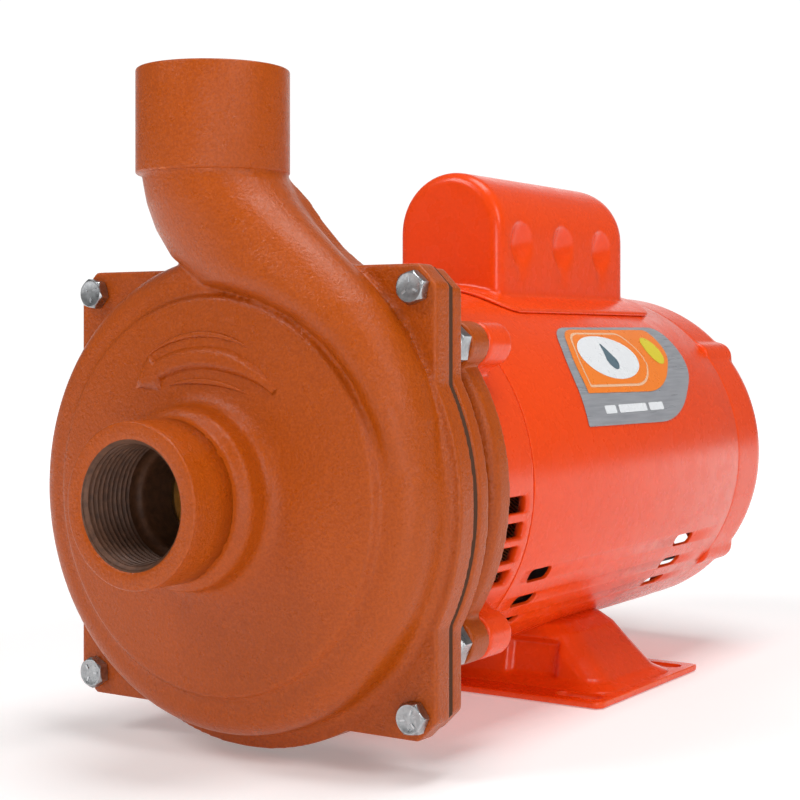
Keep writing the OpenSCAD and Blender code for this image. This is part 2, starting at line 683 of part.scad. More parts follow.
module switch_board() color("#6b4a2e") place() difference() {
    union() {
        slab(258.4, 260.5) square([72, 50], center = true);
        translate([-20, 258.4, 20]) cube([40, 2.1, 16]);
        for (sx = sides) translate([sx * 16.5 - 1.2, arm_y - 2.6, 25]) cube([2.4, 4.8, 7]);
    }
    rod(14, 257, 262, mid);
    for (sx = sides) translate([sx * 15 - 4, arm_y, arm_z]) rotate([0, 90, 0]) cylinder(r = 1.25, h = 8, $fn = 24);
}

module switch_arm() color("#c9a050") place() union() {
    translate([-18, arm_y, arm_z]) rotate([0, 90, 0]) cylinder(r = 1.2, h = 36, $fn = 24);
    translate([-14.8, arm_y - 2, arm_z - 2]) cube([29.6, 3.2, 4]);
    translate([-14.8, arm_y - 3.3, 18.5]) cube([29.6, 1.3, 12.5]);
    for (sx = sides) translate([sx * 12.6 - 1.6, arm_y - 3.3, 0]) cube([3.2, 1.3, 19]);
}

module switch_contacts() color("#d6b36a") place() for (sx = sides)
    rod_at(sx * 24, 17, 2.4, 256.6, 258.4, 24);

module terminal_board() color("#4a3322") place() translate([-27, 286, -35]) cube([54, 2.6, 24]);

module terminal_studs() color("#d0a54e") place() for (x = [-20, -7, 7, 20])
    rod_at(x, -18, 2.4, 288.6, 294, 24);

module overload_protector() color("#2c2c2f") place() translate([0, 0, 15]) union() {
    rod(11.5, 284.2, 293, mid);
    for (sx = sides) translate([sx * 5 - 2, 293, -0.4]) cube([4, 3.6, 0.8]);
}

module ground_screw() color("#3f8a4b") place() rod_at(-32, 20, 3.6, 267, 270.4, 6);

module cable_bushing() color("#191a1c") place() translate([0, bush_y, 0]) rotate([0, 90, 0]) difference() {
    union() {
        translate([0, 0, -79]) cylinder(r = 13.4, h = 3, $fn = mid);
        translate([0, 0, -77]) cylinder(r = 11, h = 11.5, $fn = mid);
    }
    translate([0, 0, -80]) cylinder(r = bush_bore, h = 20, $fn = mid);
}

module rear_cover() color("#dc4a1c") place() difference() {
    rod(46, bell_y1, bell_y1 + 2);
    for (sx = sides) translate([sx * 42.6, 0, 0]) rod(2, bell_y1 - 1, bell_y1 + 3, 24);
}

module rear_cover_screws() color("#b7babd") place() for (sx = sides) difference() {
    union() {
        rod_at(sx * 42.6, 0, 1.9, bell_y1, bell_y1 + 2.4, 24);
        rod_at(sx * 42.6, 0, 3.3, bell_y1 + 2, bell_y1 + 4.2, 24);
    }
    translate([sx * 42.6 - 4, bell_y1 + 3, -0.5]) cube([8, 3, 1]);
}

module badge_plate() color("#b9bcc2") place() intersection() {
    ring(shell_r + 0.5, shell_r, 105, 238);
    rotate([0, -33, 0]) translate([60, 171, 0]) rotate([0, 90, 0]) linear_extrude(20) {
        translate([-26, -42]) square([52, 84]);
        translate([-12, -58]) square([24, 116]);
        for (sx = sides) for (sy = sides) translate([sx * 12, sy * 44]) circle(r = 14, $fn = mid);
    }
}

volute_casing();
casing_gasket();
adapter_bracket();
casing_bolts();
adapter_bolts();
impeller();
impeller_lock_screw();
seal_seat();
seal_seat_cup();
seal_face();
seal_bellows();
seal_spring();
water_slinger();
motor_shaft();
rotor_core();
rotor_end_rings();
front_bearing_outer();
front_bearing_inner();
front_bearing_balls();
front_bearing_cage();
rear_bearing_outer();
rear_bearing_inner();
rear_bearing_balls();
rear_bearing_cage();
wave_spring();
front_end_bell();
motor_shell();
rear_end_bell();
stator_core();
stator_windings();
through_bolts();
start_capacitor();
capacitor_terminals();
capacitor_strap();
capacitor_grommet();
capacitor_cover();
cover_screws();
motor_foot();
governor_base();
governor_spool();
governor_weight_upper();
governor_weight_lower();
switch_board();
switch_arm();
switch_contacts();
terminal_board();
terminal_studs();
overload_protector();
ground_screw();
cable_bushing();
rear_cover();
rear_cover_screws();
badge_plate();
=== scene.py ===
# Close-coupled centrifugal pump: the looks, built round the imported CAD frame.
# Places are given in millimetres from the casing's joint face on the shaft axis:
# X to the right, Y along the shaft towards the motor, Z up. at() turns them into
# the frame's metres.
import json
import math

import bmesh
import bpy
from mathutils import Matrix, Vector


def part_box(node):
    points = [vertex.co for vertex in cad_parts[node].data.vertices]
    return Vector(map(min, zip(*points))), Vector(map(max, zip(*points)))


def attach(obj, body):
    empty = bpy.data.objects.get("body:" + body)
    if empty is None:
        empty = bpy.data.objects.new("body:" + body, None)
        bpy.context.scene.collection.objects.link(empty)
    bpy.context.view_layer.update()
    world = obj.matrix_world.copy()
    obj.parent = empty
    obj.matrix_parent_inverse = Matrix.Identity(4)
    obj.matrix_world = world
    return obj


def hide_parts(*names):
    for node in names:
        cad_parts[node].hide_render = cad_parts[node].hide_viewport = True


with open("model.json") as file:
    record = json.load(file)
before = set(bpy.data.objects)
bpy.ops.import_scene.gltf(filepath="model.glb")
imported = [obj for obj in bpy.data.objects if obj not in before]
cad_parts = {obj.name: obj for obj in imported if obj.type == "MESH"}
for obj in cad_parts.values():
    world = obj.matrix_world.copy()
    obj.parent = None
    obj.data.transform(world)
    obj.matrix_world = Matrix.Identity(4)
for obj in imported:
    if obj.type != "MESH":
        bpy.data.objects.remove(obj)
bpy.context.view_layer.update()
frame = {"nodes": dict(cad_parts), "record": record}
NODES = frame["nodes"]
MOUNTS = {m["name"]: m for m in frame["record"]["mounts"]}

MM = 0.001
SHAFT_Z = MOUNTS["suction_port"]["pos_m"][2]
JOINT_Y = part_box("casing_gasket")[0].y
PORT_R = MOUNTS["suction_port"]["dims"]["r_mm"]
THREAD_LEN = MOUNTS["suction_port"]["dims"]["length_mm"]
THREAD_PITCH = 2.209     # 11.5 threads to the inch
THREAD_DEPTH = 1.45
MOST_TRIANGLES = 190000  # a remeshed skin is thinned down to this
PHOTO_AZIMUTH = 33.17    # degrees from the suction's axis to the photograph's view


def at(x, y, z):
    """A place in millimetres from the joint face on the shaft axis, as a point of the frame."""
    return Vector((x * MM, JOINT_Y + y * MM, SHAFT_Z + z * MM))


def local(p):
    """A point of the frame, back in millimetres from the joint face on the shaft axis."""
    return Vector((p.x / MM, (p.y - JOINT_Y) / MM, (p.z - SHAFT_Z) / MM))


SUCTION_Y = local(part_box("volute_casing")[0]).y
DISCHARGE_Z = local(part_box("volute_casing")[1]).z
DISCHARGE = local(Vector(MOUNTS["discharge_port"]["pos_m"]))
SUCTION_R = 27.2
DISCHARGE_R = 26.7
SUCTION_EDGE = 18        # the suction collar's rear edge, from its face
DISCHARGE_EDGE = 36.5    # the discharge collar's lower edge, from its face
COLLAR_REACH = 40        # the casing's skin is left out this near to a collar's axis
SHELL_R = (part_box("motor_shell")[1].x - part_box("motor_shell")[0].x) / 2 / MM
SHELL_Y0 = local(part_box("motor_shell")[0]).y
SHELL_Y1 = local(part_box("motor_shell")[1]).y
FOOT_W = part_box("motor_foot")[1].x / MM
FOOT_Y0 = local(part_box("motor_foot")[0]).y
FOOT_Y1 = local(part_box("motor_foot")[1]).y
FOOT_Y = (FOOT_Y0 + FOOT_Y1) / 2
BASE_Z = local(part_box("motor_foot")[0]).z


# ---- node groups for the materials ----

class Surface:
    """A material with short calls for the few nodes that every finish here uses."""

    def __init__(self, name):
        self.material = bpy.data.materials.new(name)
        self.material.use_nodes = True
        self.tree = self.material.node_tree
        self.shader = self.tree.nodes["Principled BSDF"]
        self.place = self.add("ShaderNodeTexCoord").outputs["Object"]

    def add(self, kind, **settings):
        made = self.tree.nodes.new(kind)
        for key, value in settings.items():
            setattr(made, key, value)
        return made

    def link(self, a, b):
        self.tree.links.new(a, b)

    def set(self, **values):
        for key, value in values.items():
            self.shader.inputs[key.replace("_", " ").title().replace("Ior", "IOR")].default_value = value

    def noise(self, scale, detail=3.0, rough=0.55, stretch=None):
        """Noise over the object; scale is the number of bumps in a metre."""
        made = self.add("ShaderNodeTexNoise")
        made.inputs["Scale"].default_value = scale
        made.inputs["Detail"].default_value = detail
        made.inputs["Roughness"].default_value = rough
        source = self.place
        if stretch:
            turned = self.add("ShaderNodeMapping")
            turned.inputs["Scale"].default_value = stretch
            self.link(self.place, turned.inputs["Vector"])
            source = turned.outputs["Vector"]
        self.link(source, made.inputs["Vector"])
        return made.outputs["Fac"]

    def ramp(self, value, stops):
        """A colour or grey ramp from [(place, colour or grey)]."""
        made = self.add("ShaderNodeValToRGB")
        ramp = made.color_ramp
        while len(ramp.elements) < len(stops):
            ramp.elements.new(0.5)
        for element, (place, tone) in zip(ramp.elements, stops):
            element.position = place
            element.color = (*tone, 1) if isinstance(tone, tuple) else (tone, tone, tone, 1)
        self.link(value, made.inputs["Fac"])
        return made.outputs["Color"]

    def mix(self, factor, a, b):
        """Colour b over colour a, as far as factor says."""
        made = self.add("ShaderNodeMix", data_type="RGBA")
        self.link(factor, made.inputs[0])
        for value, socket in ((a, made.inputs[6]), (b, made.inputs[7])):
            if isinstance(value, tuple):
                socket.default_value = (*value, 1)
            else:
                self.link(value, socket)
        return made.outputs[2]

    def edges(self, low, high):
        """1 on outer edges, from the mesh's own sharpness; it masks the painted highlights on edges."""
        geometry = self.add("ShaderNodeNewGeometry")
        return self.ramp(geometry.outputs["Pointiness"], [(low, 0.0), (high, 1.0)])

    def hollows(self, low, high):
        """1 in inner corners, from the same sharpness; it masks the painted shade in hollows."""
        geometry = self.add("ShaderNodeNewGeometry")
        return self.ramp(geometry.outputs["Pointiness"], [(low, 1.0), (high, 0.0)])

    def bumps(self, *layers):
        """Bump maps, one on another, from (height, distance in millimetres, strength)."""
        normal = None
        for height, distance, strength in layers:
            made = self.add("ShaderNodeBump")
            made.inputs["Distance"].default_value = distance * MM
            made.inputs["Strength"].default_value = strength
            self.link(height, made.inputs["Height"])
            if normal:
                self.link(normal, made.inputs["Normal"])
            normal = made.outputs["Normal"]
        self.link(normal, self.shader.inputs["Normal"])

    def colour(self, socket):
        self.link(socket, self.shader.inputs["Base Color"])

    def roughness(self, socket):
        self.link(socket, self.shader.inputs["Roughness"])


def cast_paint():
    """Satin paint over a sand casting: fine grain, soft dents, painted shade darkening the hollows and a painted
    highlight paling the edges.
    """
    s = Surface("cast_paint")
    tone = s.ramp(s.noise(22, 2), [(0.3, (0.370, 0.060, 0.0015)), (0.7, (0.395, 0.066, 0.0025))])
    grain = s.noise(900, 2)
    tone = s.mix(grain, tone, s.ramp(s.noise(1100, 2), [(0.38, (0.32, 0.050, 0.001)), (0.62, (0.45, 0.080, 0.004))]))
    # painted highlight: outer edges are paled, standing in for the light that catches them
    tone = s.mix(s.edges(0.54, 0.62), tone, (0.52, 0.11, 0.018))
    # painted shade: inner corners are darkened, standing in for the shade that falls in them
    tone = s.mix(s.hollows(0.38, 0.46), tone, (0.25, 0.034, 0.003))
    s.colour(tone)
    s.roughness(s.ramp(s.noise(160, 4), [(0.3, 0.25), (0.7, 0.35)]))
    s.bumps((s.noise(900, 3, 0.65), 0.30, 1.0), (s.noise(420, 2), 0.20, 0.5), (s.noise(60, 2), 0.5, 0.2))
    s.set(specular_ior_level=0.28)
    return s.material


def bore_painted_shade():
    """Dark brown on the casting inside the water passages and on the port threads: painted shade, standing in for
    the shade deep in the bores.
    """
    s = Surface("bore_painted_shade")
    s.colour(s.ramp(s.noise(420, 3), [(0.3, (0.060, 0.022, 0.009)), (0.7, (0.130, 0.050, 0.022))]))
    s.roughness(s.ramp(s.noise(160, 3), [(0.3, 0.45), (0.7, 0.62)]))
    s.bumps((s.noise(900, 3), 0.12, 0.6))
    s.set(metallic=0.2)
    return s.material


def motor_paint():
    """Glossy enamel with a slight orange peel, a painted highlight paling its edges and painted shade darkening its
    hollows.
    """
    s = Surface("motor_paint")
    tone = s.ramp(s.noise(16, 2), [(0.3, (0.77, 0.054, 0.002)), (0.7, (0.83, 0.063, 0.003))])
    # painted highlight: outer edges are paled, standing in for the light that catches them
    tone = s.mix(s.edges(0.54, 0.62), tone, (0.88, 0.12, 0.025))
    # painted shade: inner corners are darkened, standing in for the shade that falls in them
    tone = s.mix(s.hollows(0.38, 0.46), tone, (0.54, 0.020, 0.002))
    grain = s.noise(1400, 2)
    s.colour(s.mix(grain, tone, s.ramp(s.noise(700, 2), [(0.3, (0.75, 0.051, 0.002)), (0.7, (0.85, 0.068, 0.004))])))
    s.roughness(s.ramp(s.noise(120, 3), [(0.3, 0.22), (0.7, 0.32)]))
    s.bumps((s.noise(420, 2), 0.05, 0.5), (s.noise(95, 2), 0.25, 0.18))
    s.set(specular_ior_level=0.30, coat_weight=0.12, coat_roughness=0.14)
    return s.material


def metal(name, dark, light, rough, grain=420, stretch=None, bump=0.05, metallic=1.0):
    """Bare or plated metal with a grain and a painted highlight paling its edges."""
    s = Surface(name)
    tone = s.ramp(s.noise(grain, 3, 0.6, stretch), [(0.3, dark), (0.7, light)])
    # painted highlight: outer edges are made paler, standing in for the glint they catch
    s.colour(s.mix(s.edges(0.52, 0.60), tone, tuple(min(1.0, c * 1.25) for c in light)))
    s.roughness(s.ramp(s.noise(grain / 3, 3, 0.6, stretch), [(0.3, rough[0]), (0.7, rough[1])]))
    s.bumps((s.noise(grain * 2, 3, 0.7, stretch), bump, 0.6))
    s.set(metallic=metallic)
    return s.material


def dull(name, dark, light, rough, grain=500, bump=0.06, specular=0.4):
    """Rubber, board or moulded plastic, with a painted highlight paling its edges."""
    s = Surface(name)
    tone = s.ramp(s.noise(grain, 3), [(0.3, dark), (0.7, light)])
    # painted highlight: outer edges are made paler, standing in for the light they catch
    s.colour(s.mix(s.edges(0.53, 0.62), tone, tuple(min(1.0, c * 1.5 + 0.01) for c in light)))
    s.roughness(s.ramp(s.noise(grain / 4, 3), [(0.3, rough[0]), (0.7, rough[1])]))
    s.bumps((s.noise(grain * 2, 3, 0.65), bump, 0.6))
    s.set(specular_ior_level=specular)
    return s.material


def laminations():
    """Stacked steel sheets: fine rings square to the shaft."""
    s = Surface("laminations")
    wave = s.add("ShaderNodeTexWave", bands_direction="Y")
    wave.inputs["Scale"].default_value = 320
    wave.inputs["Distortion"].default_value = 0.4
    s.link(s.place, wave.inputs["Vector"])
    s.colour(s.ramp(wave.outputs["Fac"], [(0.2, (0.10, 0.10, 0.105)), (0.8, (0.26, 0.26, 0.27))]))
    s.roughness(s.ramp(s.noise(200, 3), [(0.3, 0.38), (0.7, 0.55)]))
    s.bumps((wave.outputs["Fac"], 0.08, 0.7))
    s.set(metallic=0.9)
    return s.material


def windings():
    """Varnished copper wire laid round the ends."""
    s = Surface("windings")
    wave = s.add("ShaderNodeTexWave", bands_direction="Z", wave_type="RINGS", rings_direction="Y")
    wave.inputs["Scale"].default_value = 260
    wave.inputs["Distortion"].default_value = 2.5
    wave.inputs["Detail"].default_value = 2
    s.link(s.place, wave.inputs["Vector"])
    s.colour(s.ramp(wave.outputs["Fac"], [(0.1, (0.10, 0.030, 0.010)), (0.8, (0.50, 0.17, 0.06))]))
    s.roughness(s.ramp(s.noise(300, 3), [(0.3, 0.28), (0.7, 0.45)]))
    s.bumps((wave.outputs["Fac"], 0.35, 0.8))
    s.set(metallic=0.6)
    return s.material


ZINC = ((0.30, 0.31, 0.32), (0.46, 0.47, 0.48))
BORE_PAINTED_SHADE = bore_painted_shade()
SLOTS = {
    "cast_paint": cast_paint(),
    "motor_paint": motor_paint(),
    "gasket": dull("gasket", (0.026, 0.012, 0.007), (0.050, 0.022, 0.012), (0.85, 1.0), 700, 0.05, 0.0),
    "zinc": metal("zinc", *ZINC, (0.24, 0.38), 900, None, 0.03),
    "bronze": metal("bronze", (0.42, 0.23, 0.07), (0.66, 0.42, 0.16), (0.28, 0.45), 260, None, 0.08),
    "stainless": metal("stainless", (0.52, 0.53, 0.54), (0.68, 0.69, 0.70), (0.16, 0.28), 1200, (1, 0.05, 1), 0.02),
    "ceramic": dull("ceramic", (0.74, 0.70, 0.62), (0.84, 0.81, 0.75), (0.10, 0.18), 300, 0.01, 0.6),
    "rubber": dull("rubber", (0.008, 0.008, 0.009), (0.020, 0.020, 0.021), (0.55, 0.75), 600, 0.06, 0.35),
    "carbon": dull("carbon", (0.014, 0.014, 0.016), (0.030, 0.030, 0.033), (0.25, 0.40), 500, 0.02, 0.5),
    "laminations": laminations(),
    "cast_aluminium": metal("cast_aluminium", (0.48, 0.49, 0.50), (0.64, 0.65, 0.66), (0.35, 0.5), 300, None, 0.12),
    "bearing_steel": metal("bearing_steel", (0.58, 0.59, 0.61), (0.70, 0.71, 0.73), (0.08, 0.16), 900, None, 0.01),
    "copper": windings(),
    "bakelite": dull("bakelite", (0.012, 0.011, 0.011), (0.032, 0.030, 0.029), (0.22, 0.36), 420, 0.04, 0.55),
    "brass": metal("brass", (0.52, 0.36, 0.12), (0.72, 0.54, 0.22), (0.22, 0.36), 500, None, 0.04),
    "nylon": dull("nylon", (0.60, 0.56, 0.46), (0.70, 0.66, 0.56), (0.35, 0.5), 300, 0.04, 0.45),
    "board": dull("board", (0.075, 0.034, 0.014), (0.13, 0.062, 0.028), (0.4, 0.6), 260, 0.08, 0.4),
    "green_zinc": metal("green_zinc", (0.03, 0.18, 0.05), (0.06, 0.30, 0.10), (0.28, 0.42), 600, None, 0.04, 0.5),
    "badge": metal("badge", (0.34, 0.35, 0.38), (0.46, 0.47, 0.50), (0.24, 0.36), 900, (1, 0.06, 1), 0.01, 0.35),
}
NODE_SLOT = {s["node"]: s["material_slot"] for s in frame["record"]["subparts"]}


# ---- mesh helpers ----

def dress(piece, slot, body="frame", smooth=True):
    """Gives a new piece its finish, its shading and the body it rides on."""
    piece.data.materials.clear()
    piece.data.materials.append(SLOTS[slot])
    for polygon in piece.data.polygons:
        polygon.use_smooth = smooth
    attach(piece, body)
    return piece


def new_piece(name, mesh_data):
    """A new object in the scene, from its mesh or curve."""
    piece = bpy.data.objects.new(name, mesh_data)
    bpy.context.scene.collection.objects.link(piece)
    return piece


def from_bmesh(name, bm):
    """A new object from a bmesh, which is freed."""
    data = bpy.data.meshes.new(name)
    bm.to_mesh(data)
    bm.free()
    return new_piece(name, data)


def grid_piece(name, rows, closed=True):
    """A mesh from rows of points; closed joins each row's end to its start."""
    bm = bmesh.new()
    made = [[bm.verts.new(p) for p in row] for row in rows]
    for one, two in zip(made, made[1:]):
        count = len(one)
        for i in range(count if closed else count - 1):
            j = (i + 1) % count
            bm.faces.new((one[i], one[j], two[j], two[i]))
    bmesh.ops.recalc_face_normals(bm, faces=bm.faces)
    return from_bmesh(name, bm)


def apply_modifiers(piece):
    """Makes a piece's modifiers part of its mesh."""
    bpy.context.view_layer.objects.active = piece
    for modifier in list(piece.modifiers):
        bpy.ops.object.modifier_apply(modifier=modifier.name)
    return piece


def cast_copy(node, voxel, passes, name, drop=None):
    """The CAD node remeshed as one skin with small rounded edges, as a casting or a pressing has.
    drop(point) is true where a cleaner piece of its own takes over."""
    piece = new_piece(name, NODES[node].data.copy())
    bm = bmesh.new()
    bm.from_mesh(piece.data)
    bmesh.ops.remove_doubles(bm, verts=bm.verts, dist=1e-6)
    bm.to_mesh(piece.data)
    bm.free()
    remesh = piece.modifiers.new("remesh", "REMESH")
    remesh.mode = "VOXEL"
    remesh.voxel_size = voxel * MM
    remesh.adaptivity = 0
    smooth = piece.modifiers.new("smooth", "SMOOTH")
    smooth.factor = 0.5
    smooth.iterations = passes
    apply_modifiers(piece)
    triangles = 2 * len(piece.data.polygons)
    if triangles > MOST_TRIANGLES:
        thin = piece.modifiers.new("thin", "DECIMATE")
        thin.ratio = MOST_TRIANGLES / triangles
        apply_modifiers(piece)
    if drop:
        bm = bmesh.new()
        bm.from_mesh(piece.data)
        gone = [v for v in bm.verts if drop(local(v.co))]
        bmesh.ops.delete(bm, geom=gone, context="VERTS")
        bm.to_mesh(piece.data)
        bm.free()
    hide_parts(node)
    return dress(piece, NODE_SLOT[node])


def soften(piece, width, segments, angle):
    """A small bevel on a piece's sharp edges."""
    bevel = piece.modifiers.new("edge", "BEVEL")
    bevel.width = width * MM
    bevel.segments = segments
    bevel.limit_method = "ANGLE"
    bevel.angle_limit = math.radians(angle)
    bevel.harden_normals = False
    return piece


# ---- threaded collars ----

def thread_depth(turns):
    """How far the thread is cut, from 0 at its crest to 1 at its root, for a place counted in turns."""
    saw = abs((turns % 1.0) * 2 - 1)
    return min(1.0, max(0.0, (saw - 0.12) / 0.76))


def collar(name, to_point, outer, back, tucked):
    """A port's collar, machined at its face, with a helical thread cut in its bore.
    to_point(radius, angle, depth) gives a point at a depth behind the collar's face.
    A tucked collar runs on into the casting; any other ends in a rounded edge of its own."""
    around = 144
    steps = 10
    lead = 2.4
    rows = []

    def ring(radius, depth):
        rows.append([to_point(radius, math.tau * i / around, depth) for i in range(around)])

    if tucked:
        tail = outer - 0.12
        ring(tail, back + 2.5)
        ring(tail, back + 0.05)
        ring(outer, back)
    else:
        ring(outer - 4, back)
        for share in range(6):
            turn = math.radians(18 * share)
            ring(outer - 1 + math.sin(turn), back - 1 + math.cos(turn))
    ring(outer, back * 0.6)
    ring(outer, back * 0.3)
    for share in range(5):
        turn = math.radians(22.5 * share)
        ring(outer - 0.9 + 0.9 * math.cos(turn), 0.9 - 0.9 * math.sin(turn))
    ring(PORT_R + 3.2, 0)
    ring(PORT_R + 2.3, 0.15)
    count = int(THREAD_LEN / THREAD_PITCH * steps)
    for k in range(count + 1):
        depth = 0.5 + (lead + THREAD_LEN - 0.5) * k / count
        row = []
        for i in range(around):
            turns = depth / THREAD_PITCH - i / around
            open_up = max(0.0, 1 - depth / lead) * (THREAD_DEPTH + 0.8)
            run_out = min(1.0, (lead + THREAD_LEN - depth) / 3)
            cut = max(THREAD_DEPTH * thread_depth(turns) * run_out, open_up)
            row.append(to_point(PORT_R + cut, math.tau * i / around, depth))
        rows.append(row)
    ring(PORT_R - 0.1, lead + THREAD_LEN + 0.4)
    ring(PORT_R + 3, lead + THREAD_LEN + 0.6)
    piece = dress(grid_piece(name, rows), "cast_paint")
    piece.data.materials.append(BORE_PAINTED_SHADE)
    thread_rows = count + 3
    # painted shade: the thread's rows get the dark bore material, standing in for the shade in the bore
    for index, polygon in enumerate(piece.data.polygons):
        if index // around >= len(rows) - thread_rows:
            polygon.material_index = 1
    return piece


def suction_collar():
    """The collar on the shaft's axis, which runs on into the casing."""
    return collar("suction_collar",
                  lambda r, a, d: at(r * math.cos(a), SUCTION_Y + d, r * math.sin(a)), SUCTION_R, SUCTION_EDGE, True)


def discharge_collar():
    """The upright collar on top of the neck."""
    return collar("discharge_collar",
                  lambda r, a, d: at(DISCHARGE.x + r * math.cos(a), DISCHARGE.y + r * math.sin(a), DISCHARGE_Z - d),
                  DISCHARGE_R, DISCHARGE_EDGE, False)


# ---- casing ----

def casing():
    """The casing's skin: the collars are pieces of their own, and the water passages are darkened with painted
    shade.
    """
    def from_discharge(p):
        return math.hypot(p.x - DISCHARGE.x, p.y - DISCHARGE.y)

    def covered(p):
        suction = p.y < SUCTION_Y + SUCTION_EDGE - 0.3 and math.hypot(p.x, p.z) < COLLAR_REACH
        discharge = p.z > DISCHARGE_Z - DISCHARGE_EDGE + 1.0 and from_discharge(p) < COLLAR_REACH
        return suction or discharge

    neck_foot = 95           # the discharge passage is darkened with painted shade above this height
    piece = cast_copy("volute_casing", 0.85, 5, "casing_skin", covered)
    piece.data.materials.append(BORE_PAINTED_SHADE)
    # painted shade: faces inside the suction and discharge passages get the dark bore material
    for polygon in piece.data.polygons:
        middle = local(polygon.center)
        in_suction = math.hypot(middle.x, middle.z) < PORT_R and middle.y < 0
        in_discharge = from_discharge(middle) < PORT_R and middle.z > neck_foot
        if in_suction or in_discharge:
            polygon.material_index = 1
    return piece


def plate_front(radius):
    """Y of the casing's front plate at a distance from the shaft, as its turned shape gives."""
    return -33.4 + (radius - 38) * 3.2 / 28.4


def raised_band(name, centre_line, half_width, height):
    """A cast raised band on the casing's front plate. centre_line gives [(x, z, share of width)]."""
    rows = []
    across = 8
    for i, (x, z, share) in enumerate(centre_line):
        x0, z0, _ = centre_line[max(i - 1, 0)]
        x1, z1, _ = centre_line[min(i + 1, len(centre_line) - 1)]
        along = Vector((x1 - x0, z1 - z0)).normalized()
        side = Vector((-along.y, along.x))
        row = []
        for j in range(across + 1):
            t = 2 * j / across - 1
            w = half_width * share * t
            px, pz = x + side.x * w, z + side.y * w
            lift = height * min(1.0, 2.6 * (1 - abs(t))) * min(1.0, share * 1.5) - 0.35
            row.append(at(px, plate_front(math.hypot(px, pz)) - lift, pz))
        rows.append(row)
    piece = grid_piece(name, rows, closed=False)
    smooth = piece.modifiers.new("round", "SUBSURF")
    smooth.levels = 1
    smooth.render_levels = 1
    apply_modifiers(piece)
    return dress(piece, "cast_paint")


def rotation_arrow():
    """Cast arrow over the suction that gives the working direction, with a thin band on each side."""
    radius = 47
    points = []
    steps = 60
    start, tip = math.radians(50), math.radians(130)
    for i in range(steps + 1):
        t = i / steps
        a = start + (tip - start) * t
        head = t > 0.82
        share = (1 - t) / 0.18 * 2.1 if head else 0.35 + 0.65 * min(1.0, t * 3)
        points.append((radius * math.cos(a), radius * math.sin(a), max(share, 0.05)))
    raised_band("cast_rotation_arrow", points, 4.2, 2.0)
    for name, turn in (("cast_swoosh_upper", 1), ("cast_swoosh_lower", -1)):
        line = []
        for i in range(41):
            t = i / 40
            a = math.radians(90 + turn * (34 - 60 * t))
            reach = radius + turn * (6.4 + 1.6 * math.sin(math.pi * t))
            line.append((reach * math.cos(a), reach * math.sin(a), max(math.sin(math.pi * t), 0.05)))
        raised_band(name, line, 1.3, 1.1)


# ---- capacitor cover ----

def capacitor_cover():
    """The drawn cover: its pressed dimples are taller than they are wide."""
    dimple_y, dimple_z = (143.5, 180.5, 217.5), 90
    half_wide, half_tall, depth = 4.2, 8.5, 1.7
    piece = cast_copy("capacitor_cover", 0.7, 12, "capacitor_cover_skin")
    for v in piece.data.vertices:
        p = local(v.co)
        on_side = abs(p.x) >= 19 and p.z >= 76
        if not on_side:
            continue
        press = sum(math.exp(-((p.y - y) / half_wide) ** 2 - ((p.z - dimple_z) / half_tall) ** 2)
                    for y in dimple_y)
        v.co.x -= math.copysign(depth * press * MM, p.x)
    return piece


# ---- bolts ----

def hex_bolt(name, seat, across_flats, height, axis, turn):
    """A hex head with turned corners, a washer face and raised grade dashes on its end."""
    bm = bmesh.new()
    corner = across_flats / math.sqrt(3)
    around = 72
    flat = across_flats / 2
    marks = 3
    rows = []

    def ring(limit, depth, round_off):
        row = []
        for i in range(around):
            a = math.tau * i / around
            off = (a + math.pi / 6) % (math.pi / 3) - math.pi / 6
            hexagon = flat / math.cos(off)
            radius = min(hexagon, limit) if round_off else limit
            row.append(bm.verts.new((radius * math.cos(a) * MM, radius * math.sin(a) * MM, depth * MM)))
        rows.append(row)

    ring(flat * 0.98, -0.3, False)
    ring(flat * 0.98, 0.25, False)
    ring(corner, 0.3, True)
    ring(corner, height * 0.5, True)
    for share in range(7):
        depth = height - 1.0 + share / 6
        ring(corner - (depth - height + 1.0) * (corner - flat * 0.96), depth, True)
    ring(flat * 0.88, height + 0.02, False)
    ring(flat * 0.80, height - 0.12, False)
    ring(flat * 0.3, height - 0.15, False)
    for one, two in zip(rows, rows[1:]):
        for i in range(around):
            j = (i + 1) % around
            bm.faces.new((one[i], one[j], two[j], two[i]))
    bm.faces.new(rows[-1])
    for m in range(marks):
        a = turn + math.tau * m / marks
        dash = bmesh.ops.create_cube(bm, size=1.0)["verts"]
        bmesh.ops.scale(bm, verts=dash, vec=(flat * 0.34 * MM, 0.6 * MM, 0.5 * MM))
        bmesh.ops.translate(bm, verts=dash, vec=(flat * 0.5 * MM, 0, (height - 0.1) * MM))
        bmesh.ops.rotate(bm, verts=dash, cent=(0, 0, 0), matrix=Matrix.Rotation(a, 3, "Z"))
    bmesh.ops.recalc_face_normals(bm, faces=bm.faces)
    spin = Matrix.Rotation(turn, 4, "Z")
    frame_of = Vector(axis).to_track_quat("Z", "Y").to_matrix().to_4x4()
    bm.transform(Matrix.Translation(seat) @ frame_of @ spin)
    piece = from_bmesh(name, bm)
    dress(piece, "zinc")
    sharp = piece.modifiers.new("edges", "EDGE_SPLIT")
    sharp.split_angle = math.radians(28)
    return piece


